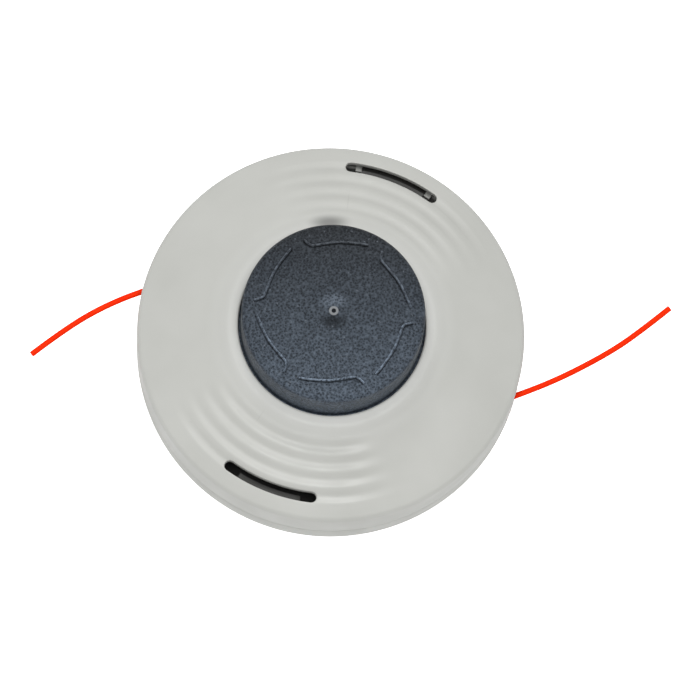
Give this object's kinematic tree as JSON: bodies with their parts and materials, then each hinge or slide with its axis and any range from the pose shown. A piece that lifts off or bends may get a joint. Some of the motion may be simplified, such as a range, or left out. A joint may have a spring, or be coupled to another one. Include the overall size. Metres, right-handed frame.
{
  "type": "bump feed trimmer head",
  "caption": "Round string trimmer head: domed slotted cover, sprung bump knob moulded on the line spool, steel line eyelets and a threaded drive insert.",
  "frame": {"origin": "centre of the mounting face, which the head lies on", "axes": "+Z along the head's axis towards the bump knob, +X through the right line's eyelet"},
  "size_m": [0.2005, 0.13, 0.0646],
  "materials": {
    "housing_plastic": "fine grained black moulding",
    "cap_plastic": "satin light grey moulding",
    "spool_plastic": "grained dark blue-grey moulding",
    "steel": "zinc plated",
    "line_nylon": "smooth monofilament"
  },
  "bodies": {
    "housing": {"upper_housing": "housing_plastic", "threaded_insert": "steel", "lower_cap": "cap_plastic", "eyelet_right": "steel", "eyelet_left": "steel", "spring": "steel", "line_right": "line_nylon", "line_left": "line_nylon"},
    "thrust": {"thrust_washer": "steel"},
    "spool": {"spool": "spool_plastic", "line_winding_lower": "line_nylon", "line_winding_upper": "line_nylon"}
  },
  "joints": [
    {"name": "bump_press", "type": "slide", "parent": "housing", "child": "thrust", "axis": [0, 0, -1], "range_m": [0, 0.007], "stiffness_N_per_m": 600, "springref_m": -0.012, "deforming": ["spring"]},
    {"name": "spool_turn", "type": "hinge", "parent": "thrust", "child": "spool", "pos_m": [0, 0, 0.03], "axis": [0, 0, 1], "range_deg": [-30, 0]}
  ]
}
